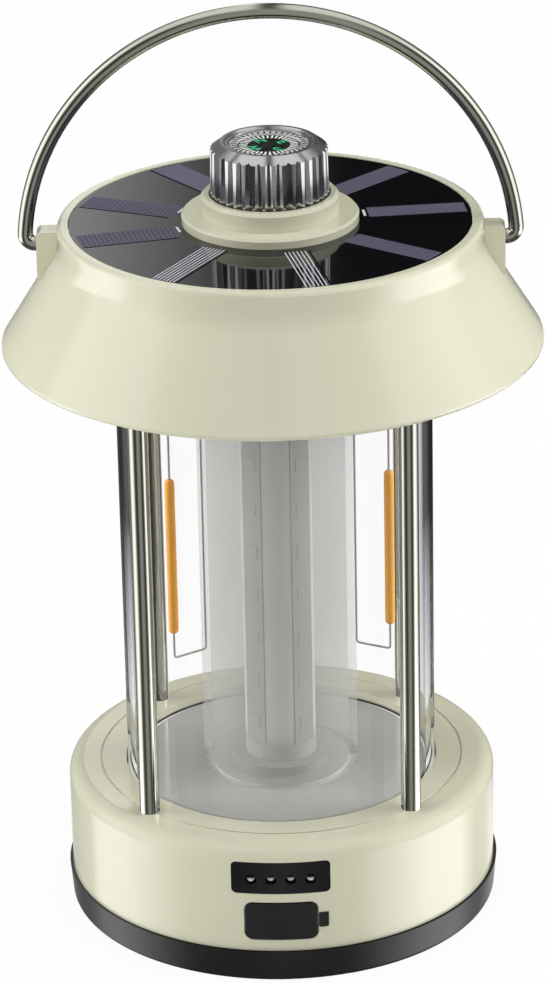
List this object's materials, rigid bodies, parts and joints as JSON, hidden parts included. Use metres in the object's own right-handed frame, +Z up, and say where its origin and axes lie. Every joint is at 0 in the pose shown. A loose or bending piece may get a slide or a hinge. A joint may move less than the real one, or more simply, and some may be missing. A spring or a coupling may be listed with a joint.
{
  "type": "solar lantern",
  "caption": "Solar camping lantern: round base with a covered charge port, clear lamp tube between posts, hat-shaped head with a ring solar panel, compass dimmer knob and swing bail.",
  "frame": {"origin": "centre of the foot on the surface it stands on", "axes": "+Z up along the lamp's axis, -Y the front with the charge port, +X to the right seen from the front"},
  "size_m": [0.125, 0.125, 0.2209],
  "materials": {
    "cream_abs": "moulded ABS, fine satin grain",
    "black_abs": "moulded black ABS, satin",
    "white_abs": "moulded white ABS, satin",
    "black_rubber": "silicone rubber, matt",
    "grey_plate": "gloss grey plate",
    "clear_tube": "clear polycarbonate, polished",
    "milky_tube": "opal diffuser plastic",
    "nickel": "polished nickel plate",
    "steel": "zinc plated steel",
    "wire": "tinned wire",
    "aluminium": "plain aluminium",
    "filament": "amber phosphor silicone",
    "circuit_board": "glass fibre board with solder mask",
    "cell_wrap": "steel can in a shrink sleeve",
    "window_black": "dark gloss window",
    "light_lens": "clear lens",
    "solar_black": "black cells under a clear gloss laminate",
    "compass_black": "dark printed plastic",
    "brass": "turned brass"
  },
  "bodies": {
    "lantern": {"foot_cover": "black_abs", "foot_screws": "steel", "base_housing": "cream_abs", "battery_holder": "black_abs", "battery_cell": "cell_wrap", "main_board": "circuit_board", "board_screws": "steel", "usb_socket": "steel", "indicator_window": "window_black", "indicator_lights": "light_lens", "indicator_board": "circuit_board", "port_strap": "black_rubber", "lower_gasket": "black_rubber", "reflector_plate": "grey_plate", "outer_tube": "clear_tube", "diffuser_tube": "milky_tube", "core_socket": "grey_plate", "core_column": "aluminium", "led_strips": "circuit_board", "post_1": "nickel", "post_2": "nickel", "post_3": "nickel", "post_4": "nickel", "lower_nuts": "steel", "upper_nuts": "steel", "hanger_1": "wire", "hanger_2": "wire", "hanger_3": "wire", "filament_1": "filament", "filament_2": "filament", "filament_3": "filament", "lead_1": "wire", "lead_2": "wire", "lead_3": "wire", "filament_board": "circuit_board", "upper_gasket": "black_rubber", "head_cover": "white_abs", "cover_screws": "steel", "shade": "cream_abs", "solar_panel": "solar_black", "knob_collar": "cream_abs", "dimmer_body": "aluminium", "dimmer_nut": "steel"},
    "knob": {"dimmer_shaft": "aluminium", "dimmer_knob": "nickel", "compass_capsule": "compass_black", "compass_pivot": "brass", "compass_lens": "clear_tube"},
    "compass_card": {"compass_card": "compass_black"},
    "bail": {"bail": "nickel"},
    "port_cover": {"port_cover": "black_rubber"}
  },
  "joints": [
    {"name": "knob_turn", "type": "hinge", "parent": "lantern", "child": "knob", "pos_m": [0, 0, 0.1756], "axis": [0, 0, 1], "range_deg": [-270, 0]},
    {"name": "compass_spin", "type": "hinge", "parent": "knob", "child": "compass_card", "pos_m": [0, 0, 0.18695], "axis": [0, 0, 1], "continuous": true},
    {"name": "bail_swing", "type": "hinge", "parent": "lantern", "child": "bail", "pos_m": [0, 0, 0.1648], "axis": [1, 0, 0], "range_deg": [-95, 95]},
    {"name": "port_cover_open", "type": "hinge", "parent": "lantern", "child": "port_cover", "pos_m": [0.00845, -0.0505, 0.01555], "axis": [0, 0, 1], "range_deg": [0, 110]}
  ]
}
